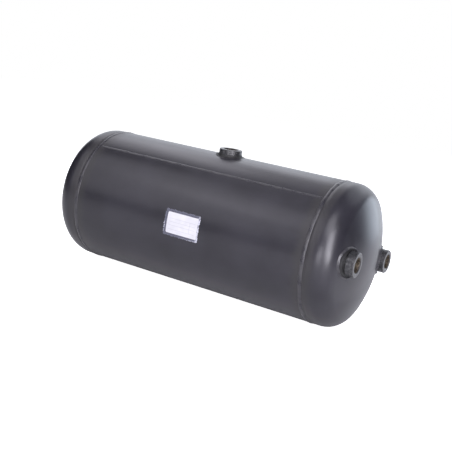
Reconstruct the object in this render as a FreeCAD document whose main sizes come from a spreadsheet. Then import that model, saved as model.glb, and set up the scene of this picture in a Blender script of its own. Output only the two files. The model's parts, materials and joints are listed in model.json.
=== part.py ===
"""Horizontal compressed-air tank: a rolled shell, two dished heads, three threaded ports, a label.

The frame: +X runs along the tank's axis to the head with the two ports, +Z is up through the port
on the shell, and -Y is the side that carries the label. The origin is on the ground under the
middle of the shell, which stands on its two girth welds. Lengths are millimetres.

Every piece is drawn about the tank's own axis, and its Placement lifts it and turns it about it.
"""

import FreeCAD, Part
import math
import os
import Sketcher

SIZES = (
    # alias, value, what it is
    ("outside_radius", 103.0, "outside radius of the shell and of the heads' flanges"),
    ("shell_length", 381.0, "length of the shell between the two girth joints"),
    ("shell_wall", 3.0, "plate thickness of the shell"),
    ("head_wall", 3.0, "plate thickness of the heads"),
    ("head_flange", 14.0, "straight part of a head beyond the girth joint"),
    ("knuckle_radius", 31.0, "outside radius of the bend between flange and crown"),
    ("crown_radius", 210.0, "outside radius of the shallow dome"),
    ("groove_depth", 2.0, "depth of the V groove cut round a girth joint for its weld"),
    ("groove_width", 1.5, "half width of the V groove at the surface"),
    ("girth_weld_width", 9.0, "width of a girth weld's cap"),
    ("girth_weld_height", 1.3, "rise of a girth weld's cap above the plate"),
    ("seam_weld_width", 3.6, "width of the lengthwise weld"),
    ("seam_weld_height", 0.5, "rise of the lengthwise weld above the plate"),
    ("seam_weld_turn", 35.8, "degrees from the top of the shell towards the front"),
    ("port_radius", 17.0, "outside radius of a port boss"),
    ("thread_core_radius", 10.188, "radius at the crests of an M22x1.5 internal thread"),
    ("mouth_radius", 11.5, "radius of the countersink at a port's mouth"),
    ("port_edge", 1.0, "chamfer of a port boss's outer rim"),
    ("port_clearance", 0.15, "gap between a port boss and its hole in the plate, each side"),
    ("top_port_offset", 6.5, "from the middle of the shell to the top port's axis"),
    ("top_port_rise", 9.5, "top port's face above the crest of the shell"),
    ("top_port_depth", 7.0, "how far the top port reaches below the crest of the shell"),
    ("head_port_circle", 65.5, "from the tank's axis to a head port's axis"),
    ("head_port_tilt", 7.4, "degrees by which the line of the head ports rises to the front"),
    ("head_port_rise", 12.0, "head port's face beyond the crown at the port's axis"),
    ("head_port_depth", 10.0, "how far a head port reaches inward from the crown there"),
    ("port_weld_reach", 5.0, "how far a port's weld runs out over the plate from its lip"),
    ("port_weld_height", 4.5, "how far a port's weld climbs up the boss"),
    ("port_weld_lip", 0.2, "width of a port weld's upper edge where it is narrowest"),
    ("port_weld_hollow", 6.0, "radius of the hollow face of a port's weld"),
    ("label_offset", 2.5, "from the middle of the shell to the middle of the paper label"),
    ("label_rise", 3.9, "degrees of the label's middle above the level of the axis"),
    ("label_width", 51.0, "paper label along the tank"),
    ("label_height", 30.2, "paper label round the tank"),
    ("label_thickness", 0.15, "thickness of the paper label"),
    ("film_offset", 1.5, "from the middle of the shell to the middle of the film"),
    ("film_width", 58.5, "film along the tank"),
    ("film_height", 38.8, "film round the tank"),
    ("film_thickness", 0.15, "thickness of the film under the label"),
)

ORIGIN_POINT = (-1, 1)
LEVEL_AXIS = -1
UPRIGHT_AXIS = -2
START, END, CENTRE = 1, 2, 3
ALONG = FreeCAD.Vector(1, 0, 0)
UP = FreeCAD.Vector(0, 0, 1)

# Sizes and places that several outlines share, as formulas of the sheet's cells.
SURFACE = "Sizes.outside_radius"
JOINT = "Sizes.shell_length / 2"
AXIS_HEIGHT = "Sizes.outside_radius + Sizes.girth_weld_height"
GROOVE_FLOOR = "Sizes.outside_radius - Sizes.groove_depth"
KNUCKLE_X = "(Sizes.shell_length / 2 + Sizes.head_flange)"
KNUCKLE_Y = "(Sizes.outside_radius - Sizes.knuckle_radius)"
CROWN_X = "({x} - sqrt((Sizes.crown_radius - Sizes.knuckle_radius)^2 - {y}^2))".format(
    x=KNUCKLE_X, y=KNUCKLE_Y)
HEAD_PORT_X = CROWN_X + " + sqrt(Sizes.crown_radius^2 - Sizes.head_port_circle^2)"
CROWN_SLOPE = "asin(Sizes.head_port_circle / Sizes.crown_radius)"
SQUARE_TO_AXIS = "90deg"
SQUARE_TO_SHELL = "0deg"
FRONT_PORT_TURN = "90 - Sizes.head_port_tilt"
REAR_PORT_TURN = "270 - Sizes.head_port_tilt"

doc = FreeCAD.newDocument("air_tank")
sheet = doc.addObject("Spreadsheet::Sheet", "Sizes")
for row, (alias, cell, meaning) in enumerate(SIZES, start=1):
    sheet.set("A%d" % row, alias)
    sheet.set("B%d" % row, str(cell))
    sheet.set("C%d" % row, meaning)
    sheet.setAlias("B%d" % row, alias)
doc.recompute()


def value(formula):
    """What a formula of the sheet's cells comes to now, angles in degrees."""
    result = sheet.evalExpression(formula)
    return float(getattr(result, "Value", result))


class Outline:
    """A sketch on one of a body's own origin planes, with its sizes bound to the sheet.

    spot is the sketch's own origin in that plane, a pair of formulas, and lean is the formula of
    the angle by which the sketch's upright leans over from the plane's, clockwise.
    """

    def __init__(self, body, name, plane="XZ_Plane", spot=("0", "0"), lean="0deg"):
        self.sketch = body.newObject("Sketcher::SketchObject", name)
        support = next(part for part in body.Origin.OriginFeatures if part.Role == plane)
        self.sketch.AttachmentSupport = [(support, "")]
        self.sketch.MapMode = "FlatFace"
        self.sketch.AttachmentOffset = FreeCAD.Placement(
            FreeCAD.Vector(), FreeCAD.Rotation(-UP, 10))
        self.sketch.setExpression("AttachmentOffset.Base.x", spot[0])
        self.sketch.setExpression("AttachmentOffset.Base.y", spot[1])
        self.sketch.setExpression("AttachmentOffset.Rotation.Angle", lean)

    def line(self, start, end):
        edge = Part.LineSegment(FreeCAD.Vector(*start, 0), FreeCAD.Vector(*end, 0))
        return self.sketch.addGeometry(edge, False)

    def arc(self, centre, radius, first, last):
        """An arc that runs anticlockwise between two angles in radians."""
        circle = Part.Circle(FreeCAD.Vector(*centre, 0), UP, radius)
        return self.sketch.addGeometry(Part.ArcOfCircle(circle, first, last), False)

    def circle(self, centre, radius):
        edge = Part.Circle(FreeCAD.Vector(*centre, 0), UP, radius)
        return self.sketch.addGeometry(edge, False)

    def hold(self, kind, *places):
        """A constraint that has no size."""
        self.sketch.addConstraint(Sketcher.Constraint(kind, *places))

    def bind(self, kind, formula, *places):
        """A constraint whose size is a formula of the sheet's cells."""
        index = self.sketch.addConstraint(Sketcher.Constraint(kind, *places, value(formula)))
        self.sketch.renameConstraint(index, "size_%d" % index)
        self.sketch.setExpression("Constraints.size_%d" % index, formula)

    def place(self, edge, end, corner):
        """Holds one end of an edge at a corner, a pair of formulas; None leaves one free."""
        across, above = corner
        for kind, formula, axis in (("DistanceX", across, UPRIGHT_AXIS),
                                    ("DistanceY", above, LEVEL_AXIS)):
            if formula == "0":
                self.hold("PointOnObject", edge, end, axis)
            elif formula is not None:
                self.bind(kind, formula, *ORIGIN_POINT, edge, end)

    def chain(self, corners):
        """Straight edges through corners given as pairs of formulas, each held in its place."""
        points = [tuple(value(formula) for formula in corner) for corner in corners]
        edges = [self.line(a, b) for a, b in zip(points, points[1:])]
        for edge, corner in zip(edges, corners):
            self.place(edge, START, corner)
        for edge, following in zip(edges, edges[1:]):
            self.hold("Coincident", edge, END, following, START)
        return edges

    def close(self, edges):
        """Joins the end of an open chain to its own start."""
        self.hold("Coincident", edges[-1], END, edges[0], START)


def new_body(label):
    body = doc.addObject("PartDesign::Body", label)
    body.Label = label
    return body


def revolve(body, outline, axis="H_Axis"):
    """Spins the outline once about an axis of its sketch."""
    feature = body.newObject("PartDesign::Revolution", body.Name + "_turned")
    feature.Profile = outline.sketch
    feature.ReferenceAxis = (outline.sketch, [axis])
    feature.Angle = 360


def extrude(body, outline, length):
    """Extrudes the outline to both sides of its plane, over the length that a formula gives."""
    feature = body.newObject("PartDesign::Pad", body.Name + "_pad")
    feature.Profile = outline.sketch
    feature.Midplane = True
    feature.setExpression("Length", length)


def drill(body, outline):
    """Cuts the outline's circles through the plate that lies ahead of the sketch's plane."""
    feature = body.newObject("PartDesign::Pocket", body.Name + "_holes")
    feature.Profile = outline.sketch
    feature.Type = "ThroughAll"
    feature.Reversed = True


def set_up(piece, turn=None, shift=None):
    """Lifts a piece to the height of the tank's axis, turned from the top towards the front."""
    if turn is not None:
        piece.Placement = FreeCAD.Placement(FreeCAD.Vector(), FreeCAD.Rotation(ALONG, 10))
        piece.setExpression("Placement.Rotation.Angle", "(%s) * 1deg" % turn)
    if shift is not None:
        piece.setExpression("Placement.Base.x", shift)
    piece.setExpression("Placement.Base.z", AXIS_HEIGHT)
    return piece


def set_up_reversed(piece):
    """Lifts a piece to the height of the tank's axis, facing the far end."""
    piece.Placement = FreeCAD.Placement(FreeCAD.Vector(), FreeCAD.Rotation(UP, 180))
    piece.setExpression("Placement.Base.z", AXIS_HEIGHT)
    return piece


def dish(outline, wall):
    """Flange, knuckle and crown of a head, inside its outer face by the formula of the wall.

    Returns the flange line, which starts at the girth joint, and the crown arc, which starts on
    the tank's axis. The three edges are tangent to each other.
    """
    inset = value(wall)
    knuckle = (value(KNUCKLE_X), value(KNUCKLE_Y))
    crown = (value(CROWN_X), 0)
    meeting = math.atan2(knuckle[1], knuckle[0] - crown[0])
    level = value(SURFACE) - inset
    flange = outline.line((value(JOINT), level), (knuckle[0], level))
    bend = outline.arc(knuckle, value("Sizes.knuckle_radius") - inset, meeting, math.pi / 2)
    dome = outline.arc(crown, value("Sizes.crown_radius") - inset, 0, meeting)
    outline.hold("Horizontal", flange)
    outline.hold("Tangent", flange, END, bend, END)
    outline.hold("Tangent", bend, START, dome, END)
    outline.place(dome, CENTRE, (None, "0"))
    outline.place(dome, START, (None, "0"))
    outline.place(flange, END, (KNUCKLE_X, "%s - (%s)" % (SURFACE, wall)))
    outline.bind("Radius", "Sizes.knuckle_radius - (%s)" % wall, bend)
    outline.bind("Radius", "Sizes.crown_radius - (%s)" % wall, dome)
    return flange, dome


def make_outer_form():
    """The tank's outer face as one solid, which trims the port welds; it isn't a piece itself."""
    body = new_body("outer_form")
    outline = Outline(body, "outer_form_outline")
    edges = outline.chain([("-" + JOINT, "0"), ("-" + JOINT, SURFACE), (JOINT, SURFACE)])
    flange, dome = dish(outline, "0")
    outline.hold("Coincident", edges[-1], END, flange, START)
    base = outline.line((value(CROWN_X) + value("Sizes.crown_radius"), 0), (-value(JOINT), 0))
    outline.hold("Coincident", base, START, dome, START)
    outline.hold("Coincident", base, END, edges[0], START)
    revolve(body, outline)
    return set_up(body)


def port_hole(outline, across, above):
    """The hole in the plate that a port boss passes through, a clearance wider than the boss."""
    radius = "Sizes.port_radius + Sizes.port_clearance"
    hole = outline.circle((value(across), value(above)), value(radius))
    outline.bind("Radius", radius, hole)
    outline.place(hole, CENTRE, (across, above))


def make_shell():
    """The rolled tube, with half a weld groove at each end and a hole for the top port."""
    body = new_body("shell")
    inner = "Sizes.outside_radius - Sizes.shell_wall"
    shoulder = "(%s - Sizes.groove_width)" % JOINT
    outline = Outline(body, "shell_outline")
    edges = outline.chain([
        ("-" + JOINT, inner),
        (JOINT, inner),
        (JOINT, GROOVE_FLOOR),
        (shoulder, SURFACE),
        ("-" + shoulder, SURFACE),
        ("-" + JOINT, GROOVE_FLOOR),
        ("-" + JOINT, inner),
    ])
    outline.close(edges)
    revolve(body, outline)
    hole = Outline(body, "shell_hole", "XY_Plane")
    port_hole(hole, "Sizes.top_port_offset", "0")
    drill(body, hole)
    return set_up(body)


def make_head(label):
    """A dished end, open towards the shell, with half a weld groove at its rim."""
    body = new_body(label)
    outline = Outline(body, label + "_outline")
    outer_flange, outer_dome = dish(outline, "0")
    inner_flange, inner_dome = dish(outline, "Sizes.head_wall")
    bevel = outline.chain([(JOINT, GROOVE_FLOOR), (JOINT + " + Sizes.groove_width", SURFACE)])[0]
    outline.place(bevel, END, (JOINT + " + Sizes.groove_width", None))
    outline.hold("Coincident", bevel, END, outer_flange, START)
    inside = value("Sizes.outside_radius - Sizes.head_wall")
    rim = outline.line((value(JOINT), inside), (value(JOINT), value(GROOVE_FLOOR)))
    outline.hold("Vertical", rim)
    outline.hold("Coincident", rim, START, inner_flange, START)
    outline.hold("Coincident", rim, END, bevel, START)
    tip = value(CROWN_X) + value("Sizes.crown_radius")
    nose = outline.line((tip - value("Sizes.head_wall"), 0), (tip, 0))
    outline.hold("Coincident", nose, START, inner_dome, START)
    outline.hold("Coincident", nose, END, outer_dome, START)
    revolve(body, outline)
    return body


def make_near_head():
    """The head with two ports, opposite each other about the axis."""
    body = make_head("near_head")
    holes = Outline(body, "near_head_holes", "YZ_Plane")
    port_hole(holes, "0", "Sizes.head_port_circle")
    port_hole(holes, "0", "-Sizes.head_port_circle")
    drill(body, holes)
    return set_up(body, turn=FRONT_PORT_TURN)


def make_girth_weld(label):
    """The weld between a head and the shell: a rounded cap on a root that fills the groove."""
    body = new_body(label)
    outline = Outline(body, label + "_outline")
    toe = "Sizes.girth_weld_width / 2"
    cap_radius = "((%s)^2 + Sizes.girth_weld_height^2) / (2 * Sizes.girth_weld_height)" % toe
    edges = outline.chain([
        ("%s - %s" % (JOINT, toe), SURFACE),
        (JOINT + " - Sizes.groove_width", SURFACE),
        (JOINT, GROOVE_FLOOR),
        (JOINT + " + Sizes.groove_width", SURFACE),
        ("%s + %s" % (JOINT, toe), SURFACE),
    ])
    outline.place(edges[-1], END, ("%s + %s" % (JOINT, toe), SURFACE))
    radius = value(cap_radius)
    centre = (value(JOINT), value(SURFACE) + value("Sizes.girth_weld_height") - radius)
    spread = math.asin(value(toe) / radius)
    cap = outline.arc(centre, radius, math.pi / 2 - spread, math.pi / 2 + spread)
    outline.hold("Coincident", edges[-1], END, cap, START)
    outline.hold("Coincident", edges[0], START, cap, END)
    outline.bind("Radius", cap_radius, cap)
    revolve(body, outline)
    return body


def sector_arc(outline, radius, half_width):
    """An arc about the tank's axis, across the top, with the formulas of radius and half width."""
    spread = math.asin(value(half_width) / value(radius))
    arc = outline.arc((0, 0), value(radius), math.pi / 2 - spread, math.pi / 2 + spread)
    outline.hold("Coincident", arc, CENTRE, *ORIGIN_POINT)
    outline.bind("Radius", radius, arc)
    outline.place(arc, START, (half_width, None))
    outline.place(arc, END, ("-(%s)" % half_width, None))
    return arc


def make_seam_weld():
    """The weld along the rolled shell, from one girth weld to the other."""
    body = new_body("seam_weld")
    outline = Outline(body, "seam_weld_outline", "YZ_Plane")
    toe = "Sizes.seam_weld_width / 2"
    rise = "(Sizes.seam_weld_height + %s - sqrt(%s^2 - (%s)^2))" % (SURFACE, SURFACE, toe)
    cap_radius = "((%s)^2 + %s^2) / (2 * %s)" % (toe, rise, rise)
    base = sector_arc(outline, SURFACE, toe)
    radius = value(cap_radius)
    spread = math.asin(value(toe) / radius)
    centre = (0, value(SURFACE) + value("Sizes.seam_weld_height") - radius)
    cap = outline.arc(centre, radius, math.pi / 2 - spread, math.pi / 2 + spread)
    outline.hold("Coincident", cap, START, base, START)
    outline.hold("Coincident", cap, END, base, END)
    outline.bind("Radius", cap_radius, cap)
    extrude(body, outline, "Sizes.shell_length - Sizes.girth_weld_width")
    return set_up(body, turn="Sizes.seam_weld_turn")


def make_port(label, spot, lean, turn, rise, depth):
    """A port boss: a chamfered round boss with a bore of the thread's core size right through.

    spot is the place on the tank's outer face where the boss's axis meets it, in the upright
    plane through the tank's axis, and lean is the angle of that axis from the upright.
    """
    body = new_body(label)
    outline = Outline(body, label + "_outline", spot=spot, lean=lean)
    bore = "Sizes.thread_core_radius"
    edge = "%s - Sizes.port_edge" % rise
    edges = outline.chain([
        (bore, "-" + depth),
        ("Sizes.port_radius", "-" + depth),
        ("Sizes.port_radius", edge),
        ("Sizes.port_radius - Sizes.port_edge", rise),
        ("Sizes.mouth_radius", rise),
        (bore, "%s - (Sizes.mouth_radius - %s)" % (rise, bore)),
        (bore, "-" + depth),
    ])
    outline.close(edges)
    revolve(body, outline, "V_Axis")
    return set_up(body, turn=turn)


def make_port_weld(label, spot, lean, normal_lean, turn, outer_form):
    """The hollow-faced weld round a port boss, which lies on the tank's outer face.

    It is turned about the line square to that face, cut clear for the boss and trimmed to the
    face. lean is the boss's angle from the upright, and normal_lean that of the square line.
    """
    body = new_body(label + "_blank")
    outline = Outline(body, label + "_outline", spot=spot, lean=normal_lean)
    lip = "(Sizes.port_radius / cos(%s - %s) + Sizes.port_weld_lip)" % (lean, normal_lean)
    toe = "(%s + Sizes.port_weld_reach)" % lip
    skirt = "(%s^2 / %s)" % (toe, SURFACE)
    edges = outline.chain([
        (toe, "0"),
        ("%s + %s / 2" % (toe, skirt), "-" + skirt),
        ("0", "-" + skirt),
        ("0", "Sizes.port_weld_height"),
        (lip, "Sizes.port_weld_height"),
    ])
    outline.place(edges[-1], END, (lip, "Sizes.port_weld_height"))
    low = FreeCAD.Vector(value(toe), 0, 0)
    high = FreeCAD.Vector(value(lip), value("Sizes.port_weld_height"), 0)
    hollow = value("Sizes.port_weld_hollow")
    chord = high - low
    square = FreeCAD.Vector(chord.y, -chord.x, 0).normalize()
    centre = (low + high) / 2 + square * math.sqrt(hollow ** 2 - chord.Length ** 2 / 4)
    first = math.atan2(high.y - centre.y, high.x - centre.x) % (2 * math.pi)
    last = math.atan2(low.y - centre.y, low.x - centre.x) % (2 * math.pi)
    face = outline.arc((centre.x, centre.y), hollow, first, last)
    outline.hold("Coincident", face, START, edges[-1], END)
    outline.hold("Coincident", face, END, edges[0], START)
    outline.bind("Radius", "Sizes.port_weld_hollow", face)
    revolve(body, outline, "V_Axis")

    way = Outline(body, label + "_way", spot=spot, lean=lean)
    way.close(way.chain([
        ("0", "-Sizes.port_radius"),
        ("Sizes.port_radius", "-Sizes.port_radius"),
        ("Sizes.port_radius", "Sizes.port_radius"),
        ("0", "Sizes.port_radius"),
        ("0", "-Sizes.port_radius"),
    ]))
    groove = body.newObject("PartDesign::Groove", label + "_groove")
    groove.Profile = way.sketch
    groove.ReferenceAxis = (way.sketch, ["V_Axis"])
    groove.Angle = 360
    set_up(body, turn=turn)

    weld = doc.addObject("Part::Cut", label)
    weld.Label = label
    weld.Base = body
    weld.Tool = outer_form
    return weld


def make_sheet(label, below, thickness, width, height, shift):
    """A thin sheet on the front of the shell, bent to it, above what lies below it."""
    body = new_body(label)
    outline = Outline(body, label + "_outline", "YZ_Plane")
    half_angle = "(%s / (2 * %s) * 1rad)" % (height, SURFACE)
    inner = "(%s + %s)" % (SURFACE, below)
    outer = "(%s + %s)" % (inner, thickness)
    back = sector_arc(outline, inner, "%s * sin(%s)" % (inner, half_angle))
    front = sector_arc(outline, outer, "%s * sin(%s)" % (outer, half_angle))
    for end, side in ((START, 1), (END, -1)):
        across = side * math.sin(math.radians(value(half_angle)))
        above = math.cos(math.radians(value(half_angle)))
        rim = outline.line((value(inner) * across, value(inner) * above),
                           (value(outer) * across, value(outer) * above))
        outline.hold("Coincident", rim, START, back, end)
        outline.hold("Coincident", rim, END, front, end)
    extrude(body, outline, width)
    return set_up(body, turn="90 - Sizes.label_rise", shift=shift)


def main():
    outer_form = make_outer_form()
    top_spot = ("Sizes.top_port_offset", SURFACE)
    head_spot = (HEAD_PORT_X, "Sizes.head_port_circle")
    pieces = [
        make_shell(),
        make_seam_weld(),
        make_near_head(),
        set_up_reversed(make_head("far_head")),
        set_up(make_girth_weld("near_girth_weld")),
        set_up(make_girth_weld("far_girth_weld"), shift="-Sizes.shell_length"),
        make_port("top_port", top_spot, SQUARE_TO_SHELL, "0",
                  "Sizes.top_port_rise", "Sizes.top_port_depth"),
        make_port_weld("top_port_weld", top_spot, SQUARE_TO_SHELL, SQUARE_TO_SHELL, "0",
                       outer_form),
    ]
    for name, turn in (("front_port", FRONT_PORT_TURN), ("rear_port", REAR_PORT_TURN)):
        pieces.append(make_port(name, head_spot, SQUARE_TO_AXIS, turn,
                                "Sizes.head_port_rise", "Sizes.head_port_depth"))
        pieces.append(make_port_weld(name + "_weld", head_spot, SQUARE_TO_AXIS,
                                     "(90deg - %s)" % CROWN_SLOPE, turn, outer_form))
    pieces.append(make_sheet("label_film", "0", "Sizes.film_thickness", "Sizes.film_width",
                             "Sizes.film_height", "Sizes.film_offset"))
    pieces.append(make_sheet("label_paper", "Sizes.film_thickness", "Sizes.label_thickness",
                             "Sizes.label_width", "Sizes.label_height", "Sizes.label_offset"))
    doc.recompute()
    check(pieces)
    os.makedirs("parts", exist_ok=True)
    for piece in pieces:
        piece.Shape.exportStep("parts/%s.step" % piece.Label)


def check(pieces):
    """Stops the build unless every object was rebuilt and every piece is one sound solid."""
    for item in doc.Objects:
        if {"Invalid", "Error"} & set(item.State):
            raise RuntimeError("%s was not rebuilt: %s" % (item.Name, item.State))
    for piece in pieces:
        shape = piece.Shape
        if shape.isNull() or not shape.isValid() or len(shape.Solids) != 1:
            raise RuntimeError("%s is not one sound solid" % piece.Label)
        print("%-18s %12.1f mm3" % (piece.Label, shape.Volume))


main()
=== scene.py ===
"""A small compressed-air tank: its paint, welds, threaded ports and label, on a pale floor.

Everything is in metres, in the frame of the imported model: +X along the tank's axis to the head
with two ports, +Z up through the port on the shell, -Y the side with the label.
"""

import json
import logging
import math
from dataclasses import dataclass, field
from enum import Enum

import bpy
import numpy as np
from mathutils import Matrix, Vector


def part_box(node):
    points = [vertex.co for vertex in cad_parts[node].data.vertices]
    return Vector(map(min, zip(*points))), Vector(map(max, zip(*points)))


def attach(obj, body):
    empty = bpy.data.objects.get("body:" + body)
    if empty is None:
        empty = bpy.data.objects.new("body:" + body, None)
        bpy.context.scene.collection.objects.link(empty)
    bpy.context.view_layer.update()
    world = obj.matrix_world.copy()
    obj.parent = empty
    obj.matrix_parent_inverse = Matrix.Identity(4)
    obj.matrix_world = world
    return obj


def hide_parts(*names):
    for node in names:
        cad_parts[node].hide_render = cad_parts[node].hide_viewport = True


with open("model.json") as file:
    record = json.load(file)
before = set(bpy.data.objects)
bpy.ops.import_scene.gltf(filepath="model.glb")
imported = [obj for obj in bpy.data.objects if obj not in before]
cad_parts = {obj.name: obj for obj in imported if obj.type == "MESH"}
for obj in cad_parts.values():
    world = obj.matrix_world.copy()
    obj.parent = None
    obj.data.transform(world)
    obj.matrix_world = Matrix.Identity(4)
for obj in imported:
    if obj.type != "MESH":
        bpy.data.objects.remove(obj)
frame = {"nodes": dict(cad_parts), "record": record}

MM = 0.001
LOG = logging.getLogger("air_tank")
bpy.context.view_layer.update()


# ---------------------------------------------------------------------------------------------
# The tank's own measures
# ---------------------------------------------------------------------------------------------


@dataclass(frozen=True)
class TankForm:
    """The outer form of the tank: a tube between two heads of flange, knuckle and crown.

    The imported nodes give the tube's measures, and the heads' three are the pressing's own.
    """

    crown_radius: float = 210 * MM
    knuckle_radius: float = 31 * MM
    flange: float = 14 * MM

    @property
    def radius(self) -> float:
        """The outside radius of the shell."""
        low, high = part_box("shell")
        return (high.y - low.y) / 2

    @property
    def axis_height(self) -> float:
        """The height of the tank's axis above the floor."""
        low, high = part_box("shell")
        return (high.z + low.z) / 2

    @property
    def joint(self) -> float:
        """The distance from the middle of the shell to a girth joint."""
        low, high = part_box("near_girth_weld")
        return (high.x + low.x) / 2

    def tube_height(self, across: np.ndarray) -> np.ndarray:
        """How far the tube's outer face lies from the axis, measured upright, beside a line.

        Args:
            across: the distances from the line, at right angles to the axis.

        Returns:
            The height of a circle of the tube's radius over each distance.
        """
        return np.sqrt(self.radius**2 - across**2)

    def crown_reach(self, off_axis: np.ndarray) -> np.ndarray:
        """How far along the axis the crown lies at a distance from the axis.

        Args:
            off_axis: the distances from the tank's axis.

        Returns:
            The x of a sphere of the crown's radius, whose centre puts it in touch with the knuckle.
        """
        start = self.joint + self.flange
        level = self.radius - self.knuckle_radius
        gap = self.crown_radius - self.knuckle_radius
        centre = start - math.sqrt(gap**2 - level**2)
        return centre + np.sqrt(self.crown_radius**2 - off_axis**2)


FORM = TankForm()


# ---------------------------------------------------------------------------------------------
# Surfaces as grids
# ---------------------------------------------------------------------------------------------


def full_circle(count: int) -> np.ndarray:
    """Evenly spaced angles once round, in a column."""
    return np.linspace(0, 2 * np.pi, count, endpoint=False)[:, None]


def wave(turn: np.ndarray, seed: int, waves: tuple[int, ...]) -> np.ndarray:
    """A smooth closed wander: a sum of sine waves that each run a whole number of times round.

    Args:
        turn: the angle round the loop, in radians.
        seed: picks the phases.
        waves: how many times each sine runs round.

    Returns:
        The sum at each angle, between about -1 and 1.
    """
    phases = np.random.default_rng(seed).uniform(0, 2 * np.pi, len(waves))
    total = sum(np.sin(count * turn + phase) for count, phase in zip(waves, phases))
    return total / math.sqrt(len(waves))


def bump(turn: np.ndarray, middle: float, width: float) -> np.ndarray:
    """A bell-shaped hill at one angle of a loop.

    Args:
        turn: the angle round the loop, in radians.
        middle: where the hill stands.
        width: the angle over which it falls away.

    Returns:
        1 at the middle, falling to 0 on both sides as a Gaussian does.
    """
    gap = (turn - middle + np.pi) % (2 * np.pi) - np.pi
    return np.exp(-((gap / width) ** 2))


def grid_faces(rows: int, columns: int, closed_rows: bool, closed_columns: bool) -> np.ndarray:
    """The quads of a grid of points that is stored row by row.

    Args:
        rows: how many rows.
        columns: how many points in a row.
        closed_rows: whether the last row joins the first.
        closed_columns: whether a row's last point joins its first.

    Returns:
        An array of four point numbers a quad.
    """
    down = np.arange(rows if closed_rows else rows - 1)[:, None]
    along = np.arange(columns if closed_columns else columns - 1)[None, :]
    next_down, next_along = (down + 1) % rows, (along + 1) % columns
    corners = (
        down * columns + along,
        down * columns + next_along,
        next_down * columns + next_along,
        next_down * columns + along,
    )
    return np.stack([c.ravel() for c in np.broadcast_arrays(*corners)], axis=1)


def free_edge_walls(faces: np.ndarray, shift: int) -> np.ndarray:
    """The walls that join two copies of a set of quads along its free edges.

    Args:
        faces: the quads of the first copy.
        shift: how much higher the point numbers of the second copy are.

    Returns:
        One quad for each edge that belongs to a single quad, facing away from it.
    """
    first, second = faces.ravel(), np.roll(faces, -1, axis=1).ravel()
    real = first != second
    first, second = first[real], second[real]
    key = first.astype(np.int64) * (shift + 1) + second
    twin = second.astype(np.int64) * (shift + 1) + first
    free = ~np.isin(key, twin)
    first, second = first[free], second[free]
    return np.stack([second, first, first + shift, second + shift], axis=1)


@dataclass(frozen=True)
class Surface:
    """Points and quads of one piece, with an optional place on a sheet for each point."""

    points: np.ndarray
    faces: np.ndarray
    sheet_place: np.ndarray | None = None

    @staticmethod
    def ring(points: np.ndarray) -> "Surface":
        """A closed tube from a grid of points whose rows and columns both join up."""
        rows, columns = points.shape[:2]
        return Surface(points.reshape(-1, 3), grid_faces(rows, columns, True, True))

    @staticmethod
    def bar(points: np.ndarray) -> "Surface":
        """A closed bar from a grid of closed rows, with a face across each end row.

        Args:
            points: rows of points, each row a closed section.

        Returns:
            The sides, and at each end a fan about the middle of the section.
        """
        rows, columns = points.shape[:2]
        ends = np.stack([points[0].mean(0), points[-1].mean(0)])
        sides = grid_faces(rows, columns, False, True)
        near = np.arange(columns)
        following = (near + 1) % columns
        first, last = rows * columns, rows * columns + 1
        shift = (rows - 1) * columns
        fan_a = np.stack([np.full(columns, first), following, near, near], axis=1)
        near, following = near + shift, following + shift
        fan_b = np.stack([np.full(columns, last), near, following, following], axis=1)
        return Surface(np.concatenate([points.reshape(-1, 3), ends]),
                       np.concatenate([sides, fan_a, fan_b]))

    def build(self, name: str) -> bpy.types.Object:
        """Makes the Blender object, smooth-shaded, with its faces turned outwards.

        Args:
            name: the object's name.

        Returns:
            The new object, linked into the scene.
        """
        mesh = bpy.data.meshes.new(name)
        quads = [tuple(dict.fromkeys(face)) for face in self.faces.tolist()]
        mesh.from_pydata(self.points.tolist(), [], quads)
        mesh.polygons.foreach_set("use_smooth", np.ones(len(mesh.polygons), dtype=bool))
        if self.sheet_place is not None:
            corners = np.empty(len(mesh.loops), dtype=np.int32)
            mesh.loops.foreach_get("vertex_index", corners)
            layer = mesh.uv_layers.new(name="sheet")
            layer.uv.foreach_set("vector", self.sheet_place[corners].ravel())
        mesh.update()
        piece = bpy.data.objects.new(name, mesh)
        bpy.context.scene.collection.objects.link(piece)
        if signed_volume(mesh) < 0:
            mesh.flip_normals()
        return piece


def signed_volume(mesh: bpy.types.Mesh) -> float:
    """The volume inside a closed mesh: a sixth of the sum of its triangles' triple products.

    Args:
        mesh: the closed mesh.

    Returns:
        The volume, negative where the faces point inwards.
    """
    mesh.calc_loop_triangles()
    corners = np.empty(len(mesh.loop_triangles) * 3, dtype=np.int32)
    mesh.loop_triangles.foreach_get("vertices", corners)
    points = np.empty(len(mesh.vertices) * 3)
    mesh.vertices.foreach_get("co", points)
    a, b, c = points.reshape(-1, 3)[corners].reshape(-1, 3, 3).transpose(1, 0, 2)
    return float(np.einsum("ij,ij->i", a, np.cross(b, c)).sum() / 6)


# ---------------------------------------------------------------------------------------------
# Shader maths
# ---------------------------------------------------------------------------------------------


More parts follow.
